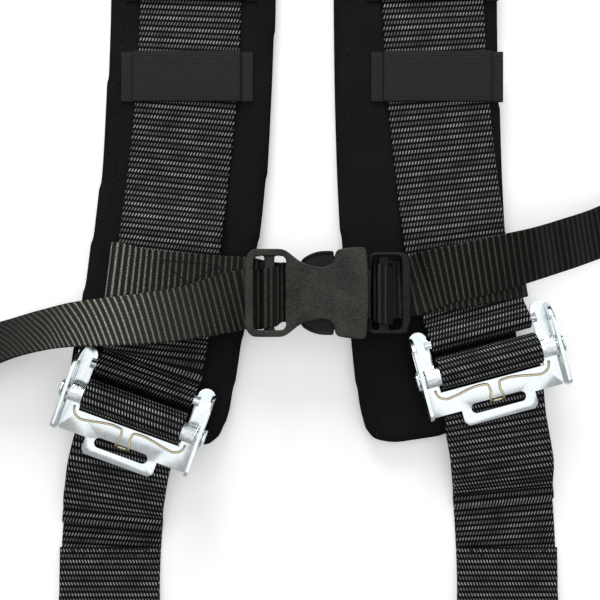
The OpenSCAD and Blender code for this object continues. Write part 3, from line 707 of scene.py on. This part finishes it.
def pad_blank(line, half_w, round_r, low, high, inset):
    """A pad's plan outline, a line widened by half_w with ends rounded off by round_r, raised between two
    heights, its edges drawn in by inset at top and bottom."""
    share = np.linspace(0, 1, 90)
    mid, along, length = through_points(line, share)
    to_end = np.minimum(share, 1 - share) * length
    draw_in = round_r - np.sqrt(np.maximum(round_r**2 - np.maximum(round_r - to_end, 0) ** 2, 0))
    across = to_left(along)
    rings = []
    for z, d in ((high, inset), (high - inset, 0), (low + inset, 0), (low, inset)):
        w = (half_w - draw_in - d)[:, None]
        squeeze = (share[:, None] - 0.5) * -2 * d * along
        plan = np.vstack([mid + across * w + squeeze, (mid - across * w + squeeze)[::-1]])
        rings.append(np.column_stack([plan, np.full(len(plan), z)]))
    return np.vstack(rings), tube_faces(len(rings), len(plan))


blank_more, blank_less, blank_edge = 0.5, 0.9, 1.2
swell, edge_more = 1.25, 0.3
seam_in, seam_deep, seam_half = 6.5, 0.55, 1.5
seam_every = 6
for s, side in enumerate(SIDES):
    line = pad_lines[s]
    blank_w, blank_top = pad_w / 2 + blank_more, pad_top_z - blank_less
    pad = place("pad_" + side, *pad_blank(line, blank_w, corner_r, blank_less, blank_top, blank_edge))
    stuffed(pad, line, pad_w / 2 + edge_more, 0.1 * MM, (pad_top_z - 0.05) * MM, swell * MM)
    # A sewn channel runs round the top, a little inside the edge
    share = np.linspace(0.022, 0.978, 300)
    one = beside_line(line, share, pad_w / 2 - seam_in)
    two = beside_line(line, share[::-1], seam_in - pad_w / 2)
    seam = np.vstack([one, two, one[:1]])
    co = points_of(pad.data)
    top = np.flatnonzero(co[:, 2] > 0.7 * pad_top_z * MM)
    away = [np.linalg.norm((co[top, :2] / MM - shift)[:, None] - part[None], axis=2).min(1)
            for part in np.array_split(seam, 8)]
    co[top, 2] -= seam_deep * MM * np.exp(-((np.min(away, 0) / seam_half) ** 2))
    pad.data.vertices.foreach_set("co", co.ravel())
    finish_piece(pad, side + "_half", "pad_fabric", cloth, "pad_cover_" + side, "pad_foam_" + side)
    knots = np.column_stack([seam, np.full(len(seam), pad_top_z - 0.5)])
    runs = [(knots[i], knots[i + seam_every]) for i in range(0, len(seam) - seam_every, seam_every)]
    piece = stitches("pad_seam_" + side, runs, 3.4, 2.6, 0.3)
    finish_piece(piece, side + "_half", "pad_fabric", thread)

# ---------------------------------------------------------------------------
# Keepers: two bands of plain black elastic sewn across each pad, which hold
# the shoulder webbing on it.
# ---------------------------------------------------------------------------
keeper_w, keeper_t = 25.0, 1.2
keeper_y = (110, 160)
keeper_low = pad_top_z + 0.05 + keeper_t / 2
keeper_high = on_pad_z + strap_t / 2 + gap + keeper_t / 2


def keeper_cloth():
    """Black elastic with close fine ribs along its length, 1 mm apart."""
    m, tree, shader = finish_of("elastic", (0.014, 0.014, 0.015), 0.7, level=0.18)
    fine = band_mask(tree, woven_uv(tree)[1], 0.2, 0.25)
    paint(tree, shader, fine, (0.003, 0.003, 0.003), (0.02, 0.02, 0.021))
    add_bump(tree, shader, fine, 0.5, 0.0002)
    return m


elastic = keeper_cloth()
# Each band's height from its sewn ends in to the webbing's edge, by distance out from that edge
foot = ((7.5, keeper_low), (2.4, keeper_low), (0.9, keeper_high))
for s, side in enumerate(SIDES):
    line = np.array(shoulder_lines[s])
    parts = []
    for y in keeper_y:
        x = np.interp(y, line[:, 1], line[:, 0])
        rows = [(x - strap_w / 2 - out, y, z, 0, 0, 0) for out, z in foot]
        rows += [(x + strap_w / 2 + out, y, z, 0, 0, 0) for out, z in foot[::-1]]
        parts.append(band("keeper_%s_%d" % (side, y), rows, keeper_w, keeper_t, 1.0, 0.06, 10, 0.5))
    with bpy.context.temp_override(active_object=parts[0], selected_editable_objects=parts):
        bpy.ops.object.join()
    finish_piece(parts[0], side + "_half", "keeper_webbing", elastic, "pad_keepers_" + side)

# ---------------------------------------------------------------------------
# Side-release buckle: socket, plug and the plug's two squeeze arms, moulded in
# dark olive-grey acetal with a fine spark texture and smooth rounded edges.
# ---------------------------------------------------------------------------
# Half thicknesses of the body, the strap frames and the outer bars, the cavity and the arms
full_half, frame_half, bar_half, cavity_half, arm_half = 6.5, 3.5, 1.9, 3.7, 3.35
buckle_y = 3.4
buckle_z = chest_tail_z + chest_t / 2 + gap + bar_half


def cut_corners(points, rounds):
    """A closed outline with its corners cut a quarter of the way along both sides, rounds times over."""
    p = np.array(points, float)
    for _ in range(rounds):
        after = np.roll(p, -1, axis=0)
        p = np.stack([0.75 * p + 0.25 * after, 0.25 * p + 0.75 * after], 1).reshape(-1, 2)
    return p


def prism(outline, low, high):
    """A closed outline raised from low to high: its vertices and its faces."""
    n = len(outline)
    x, y = outline.T
    area = np.sum(x * np.roll(y, -1) - np.roll(x, -1) * y)
    outline = outline if area > 0 else outline[::-1]
    verts = np.vstack([np.column_stack([outline, np.full(n, z)]) for z in (low, high)])
    return verts, tube_faces(2, n)


def moulding(name, parts, voxel, steps, heights):
    """Prisms fused by a voxel remesh, their edges softened, then each height multiplied by heights(x, y). The
    parts are in mm from the buckle's middle, mirrored parts included."""
    verts = np.vstack([v for v, f in parts])
    faces, start = [], 0
    for v, f in parts:
        faces += [[k + start for k in face] for face in f]
        start += len(v)
    obj = place(name, verts, faces)
    fused = obj.modifiers.new("fused", "REMESH")
    fused.mode = "VOXEL"
    fused.voxel_size = voxel * MM
    soft = obj.modifiers.new("soft", "SMOOTH")
    soft.factor = 0.5
    soft.iterations = steps
    settle(obj)
    co = points_of(obj.data) / MM
    co[:, 2] = co[:, 2] * heights(*(co[:, :2] - shift).T) + buckle_z
    co[:, 1] += buckle_y
    obj.data.vertices.foreach_set("co", (co * MM).ravel())
    obj.data.polygons.foreach_set("use_smooth", [True] * len(obj.data.polygons))
    return obj


def ease(t):
    """0 to 1 with a level start and end: 3t^2 - 2t^3."""
    t = np.clip(t, 0, 1)
    return t * t * (3 - 2 * t)


def box_of(x0, x1, y, low, high):
    """A prism from x0 to x1, as far as y to both sides."""
    return prism(np.array([(x0, -y), (x1, -y), (x1, y), (x0, y)]), low, high)


def both_ways(points, rounds, low, high):
    """A prism and its mirror image across the buckle's centre line."""
    p = cut_corners(points, rounds)
    return [prism(p, low, high), prism(p * [1, -1], low, high)]


def socket_heights(x, y):
    """Half the thickness over its nominal value: thin along the frame, full and crowned over the body."""
    body = ease((x + 9) / 15)
    crown = 1 - body * (0.05 * (y / 20) ** 2 + 0.09 * (y / 22) ** 4 + 0.03 * ((x - 17) / 16) ** 2)
    return (frame_half + (full_half - frame_half) * body) / full_half * crown


def spark_plastic(name, depth):
    """Dark olive-grey acetal: a fine spark texture, slightly uneven gloss. depth scales how light it is."""
    m, tree, shader = finish_of(name, (0.035, 0.035, 0.031), 0.5, level=0.1 + 0.14 * depth)
    where = own_place(tree)
    spark = noise(tree, where, 1300, 3)
    tone = calc(tree, "MULTIPLY_ADD", spark, 0.6, calc(tree, "MULTIPLY", noise(tree, where, 90), 0.4))
    low, high = depth * np.array([[0.0035, 0.0036, 0.0031], [0.048, 0.048, 0.041]])
    paint(tree, shader, map_range(tree, tone, 0.36, 0.68), low, high)
    tree.links.new(map_range(tree, spark, 0, 1, 0.36, 0.56), shader.inputs["Roughness"])
    add_bump(tree, shader, spark, 0.35, 0.0002)
    return m


plastic = spark_plastic("socket_plastic", 1.0)
plug_plastic = spark_plastic("plug_plastic", 0.4)
# socket_heights brings the frame down from the body's full height: its heights are given tall times over
tall = full_half / frame_half
bar_low, bar_top = bar_low_z - buckle_z, bar_low_z + middle_bar_t - buckle_z
body_edge = [(-7.1, 0), (-7.1, 16.6), (-4.2, 18.4), (-2.3, 17.0), (-0.9, 15.7), (1.6, 14.5), (4.4, 13.5),
             (7.6, 12.7), (10.8, 12.4), (13.4, 12.9), (15.5, 14.4), (16.6, 16.6), (17.1, 19), (17.7, 20.6),
             (20, 21.2), (24, 21.8), (28, 22), (30.6, 22), (31.7, 21), (32.1, 16), (32.6, 8), (32.8, 0)]
outline = np.array(body_edge + [(x, -y) for x, y in body_edge[-2:0:-1]])
rail = [(-26.5, 15), (-25.8, 17.6), (-24.4, 19.8), (-22.6, 21), (-20.4, 21.2), (-14, 21.2), (-8.8, 21.2),
        (-6.4, 20.2), (-3.6, 18), (-1, 15.6), (-4, 13), (-6.6, 15), (-7, 16.6), (-8.2, 18), (-14, 18),
        (-20.6, 18), (-22, 17.3), (-22.5, 15.6), (-22.5, 12), (-26.5, 12)]
parts = [prism(cut_corners(outline, 2), -full_half, full_half)]
parts += both_ways(rail, 1, -full_half, full_half)
parts += [box_of(-26.5, -22.5, 14, -bar_half * tall, full_half * 0.93),
          box_of(-17.4, -12.4, 19, bar_low * tall, bar_top * tall)]
socket = moulding("moulded_socket", parts, 0.42, 7, socket_heights)
cavity = np.array([(0.6, -14.6), (5, -18.6), (36, -18.6), (36, 18.6), (5, 18.6), (0.6, 14.6)]) + [0, buckle_y]
cutter = place("cavity", *prism(cavity, buckle_z - cavity_half, buckle_z + cavity_half), smooth=False)
hollow = socket.modifiers.new("cavity", "BOOLEAN")
hollow.operation = "DIFFERENCE"
hollow.object = cutter
hollow.solver = "EXACT"
settle(socket)
socket.data.set_sharp_from_angle(angle=np.radians(50))
bpy.data.objects.remove(cutter)
finish_piece(socket, "left_half", "moulded_plastic", plastic, "buckle_socket")

plug_rail = [(33.4, 15), (33.6, 18), (35, 19.6), (42, 19.6), (49.8, 19.6), (51.4, 18.6), (52.4, 16.6),
             (53, 12), (53.1, 8), (49.1, 8), (49.1, 15.6), (48.4, 17.4), (46.6, 18), (41, 18), (35.6, 18),
             (34.2, 16.8), (34.2, 12), (33.4, 12)]
parts = both_ways(plug_rail, 1, -frame_half, frame_half)
parts += [box_of(49.1, 53.1, 14, -bar_half, frame_half * 0.94), box_of(30.5, 34.2, 18.2, -arm_half, 2.2),
          box_of(38.1, 43.1, 18.8, bar_low, bar_top), box_of(4, 31, 3, -1.5, 1.5)]


def plug_heights(x, y):
    """The plug's frame is crowned a little across."""
    return 1 - 0.04 * (y / 20) ** 2


plug = moulding("moulded_plug", parts, 0.4, 5, plug_heights)
finish_piece(plug, "right_half", "moulded_plastic", plug_plastic, "buckle_plug")

arm_edge = [(30, 10), (30, 15), (26, 15.3), (22, 15.6), (19.5, 15.9), (17.4, 16.6), (16.4, 17.6),
            (16.2, 19.2), (16, 20.2), (13.6, 20.3), (11, 20.2), (8.6, 19.9), (6.5, 19.3), (4.5, 18.5),
            (2.6, 17.4), (1.3, 16.4), (0.4, 15.4), (1.4, 14.2), (3.2, 13), (6, 12), (9, 11.4), (15, 11.2),
            (20, 11.4), (26, 10.4)]
# The thumb's stretch of that edge
outer_x = np.array([0.4, 1.3, 2.6, 4.5, 6.5, 8.6, 11, 13.6, 16.1])
outer_y = np.array([15.4, 16.4, 17.4, 18.5, 19.3, 19.9, 20.2, 20.3, 20.2])


def arm_heights(x, y):
    """The thumb face lies lower than a narrow rim along the arm's outer edge."""
    in_from_edge = np.interp(x, outer_x, outer_y) - np.abs(y)
    return 1 - 0.2 * ease((in_from_edge - 0.9) / 1.1) * ease((17.5 - x) / 1.5)


for turn, side in ((1, "upper"), (-1, "lower")):
    blank = prism(cut_corners(arm_edge, 1) * [1, turn], -arm_half, arm_half)
    arm = moulding("squeeze_arm_" + side, [blank], 0.3, 4, arm_heights)
    finish_piece(arm, "arm_" + side, "moulded_plastic", plug_plastic, "release_arm_" + side)

# ---------------------------------------------------------------------------
# Steel parts: stamped and zinc plated, with rolled-over edges. Adjuster frames
# and bars, link plates, slides and anchor plates.
# ---------------------------------------------------------------------------


def rounded_copy(node, width, segments, name):
    """A copy of a CAD node's mesh, its triangles joined into flat faces, its sharp edges rounded by width."""
    mesh = frame["nodes"][node].data.copy()
    mesh.name = name
    bm = bmesh.new()
    bm.from_mesh(mesh)
    bmesh.ops.remove_doubles(bm, verts=bm.verts, dist=1e-6)
    bmesh.ops.dissolve_limit(bm, angle_limit=np.radians(1), verts=bm.verts, edges=bm.edges)
    bm.normal_update()
    sharp = [e for e in bm.edges if len(e.link_faces) == 2 and e.calc_face_angle(0) > np.radians(28)]
    bmesh.ops.bevel(bm, geom=sharp, offset=width, offset_type="OFFSET", segments=segments, profile=0.5,
                    affect="EDGES", clamp_overlap=True)
    bmesh.ops.triangulate(bm, faces=[f for f in bm.faces if len(f.verts) > 4])
    bm.to_mesh(mesh)
    bm.free()
    mesh.polygons.foreach_set("use_smooth", [True] * len(mesh.polygons))
    mesh.set_sharp_from_angle(angle=np.radians(32))
    obj = bpy.data.objects.new(name, mesh)
    bpy.context.collection.objects.link(obj)
    return obj


def zinc_plate():
    """Bright zinc: near-white metal with a fine cool speckle and a slightly uneven gloss."""
    m, tree, shader = finish_of("bright_zinc", (0.82, 0.84, 0.86), 0.25, 1.0)
    where = own_place(tree)
    marks = noise(tree, where, 150, 4)
    speck = calc(tree, "MULTIPLY_ADD", noise(tree, where, 1500), 0.9, -0.3)
    tone = calc(tree, "MULTIPLY_ADD", marks, 0.8, speck)
    paint(tree, shader, tone, (0.50, 0.62, 0.67), (0.98, 0.98, 0.97))
    tree.links.new(map_range(tree, marks, 0, 1, 0.1, 0.3), shader.inputs["Roughness"])
    return m


zinc = zinc_plate()
# CAD node, the body it rides on, and how far its edges are rolled over in metres
steel_parts = (("adjuster_frame_", "adjuster_%s", 0.0003), ("link_plate_", "link_%s", 0.0005),
               ("strap_slide_", "%s_half", 0.0004), ("anchor_plate_", "anchor_%s", 0.0005))
for side in SIDES:
    for node, body, edge in steel_parts:
        piece = rounded_copy(node + side, edge, 2, "steel_" + node + side)
        finish_piece(piece, body % side, "zinc_steel", zinc, node + side)

# ---------------------------------------------------------------------------
# Knurled bars: turned steel, diamond knurled between the flanges, with a neck
# that slides in each flange's slot and a riveted head outside it.
# ---------------------------------------------------------------------------
adjuster_w, plate_t, side_play = 70, 1.8, 1
inner_half = (adjuster_w - 2 * plate_t - side_play) / 2
grip_r, neck_r, head_r = 4.5, 3.0, 4.7
head_in, head_out, head_edge = 35.4, 36.9, 0.4
bar_sides, knurl_turns, knurl_twist, knurl_deep = 72, 18, 3.6, 0.32
# Distance out from the middle and radius; the knurl runs from just inside the webbing's edge to the shoulder
knurl = np.arange(strap_w / 2 - 1.5, inner_half - 0.7, 0.22)
out = np.r_[knurl, inner_half - 0.5, inner_half, inner_half + 0.01, head_in - 0.02,
            head_in, head_in + head_edge, head_out - head_edge, head_out, head_out + 0.01]
radius = np.r_[np.full(len(knurl), grip_r), grip_r, grip_r - 0.4, neck_r, neck_r,
               head_r - 0.5, head_r, head_r, head_r - 0.5, 0.02]
out, radius = np.r_[-out[::-1], out], np.r_[radius[::-1], radius]
a = np.linspace(0, 2 * np.pi, bar_sides, endpoint=False)
turns, twist = knurl_turns * a[None], knurl_twist * out[:, None]
cut = np.abs(np.sin(turns + twist)) * np.abs(np.sin(turns - twist))
r = radius[:, None] + knurl_deep * (np.abs(out) < inner_half - 0.6)[:, None] * (cut - 1)
for s, side in enumerate(SIDES):
    tilt = layout("adjuster_lift_" + side)[1]
    bar_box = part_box("adjuster_bar_" + side)
    centre = np.array([*grip_at[s], (bar_box[0].z + bar_box[1].z) / 2 / MM])
    verts = centre + out[:, None, None] * np.r_[facing(tilt), 0]
    verts = verts + (r * np.cos(a))[:, :, None] * np.r_[facing(tilt + 90), 0]
    verts = verts + (r * np.sin(a))[:, :, None] * [0, 0, 1]
    bar_piece = place("knurled_bar_" + side, verts.reshape(-1, 3), tube_faces(len(out), bar_sides))
    bar_piece.data.set_sharp_from_angle(angle=np.radians(40))
    finish_piece(bar_piece, "grip_" + side, "zinc_steel", zinc, "adjuster_bar_" + side)

# ---------------------------------------------------------------------------
# Springs: one round wire each, hooked into the slot of the adjuster's plate and
# bent out over it to both sides, with its ends turned up behind the bar.
# ---------------------------------------------------------------------------
wire_r, wire_sides = 0.65, 14
spring_middle = (0, -18.9, -0.75)
spring_half = [(2.2, -18.9, -0.75), (3.3, -18.5, 0.3), (3.2, -17.3, 1.1), (2.4, -13, 1), (3.1, -10.4, 1),
               (6.5, -9.7, 1), (13, -10.3, 1), (19.5, -11.6, 1), (24.5, -12, 1), (27.6, -10.2, 1.0),
               (28.5, -7.8, 1.1), (28.6, -6.8, 1.5)]
wire, tree, shader = finish_of("spring_wire", (0.66, 0.57, 0.38), 0.3, 1.0)
paint(tree, shader, noise(tree, own_place(tree), 700), (0.55, 0.46, 0.27), (0.90, 0.80, 0.56))
local = np.array([(-x, y, z) for x, y, z in spring_half[::-1]] + [spring_middle] + spring_half)
local = through_points(local, np.linspace(0, 1, 220))[0]
a = np.linspace(0, 2 * np.pi, wire_sides, endpoint=False)
for s, side in enumerate(SIDES):
    tilt = layout("adjuster_lift_" + side)[1]
    plate_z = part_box("adjuster_frame_" + side)[0].z / MM + plate_t
    plan = np.array(grip_at[s]) + local[:, :1] * facing(tilt) + local[:, 1:2] * facing(tilt + 90)
    path = np.column_stack([plan, local[:, 2] + plate_z])
    along = np.gradient(path, axis=0)
    along /= np.linalg.norm(along, axis=1)[:, None]
    side_way = np.cross([0, 0, 1.0], along)
    side_way /= np.linalg.norm(side_way, axis=1)[:, None]
    top_way = np.cross(along, side_way)
    ring = side_way[:, None] * np.cos(a)[None, :, None] + top_way[:, None] * np.sin(a)[None, :, None]
    verts = path[:, None] + wire_r * ring
    piece = place("spring_" + side, verts.reshape(-1, 3), tube_faces(len(path), wire_sides))
    finish_piece(piece, "adjuster_" + side, "spring_wire", wire, "adjuster_spring_" + side)
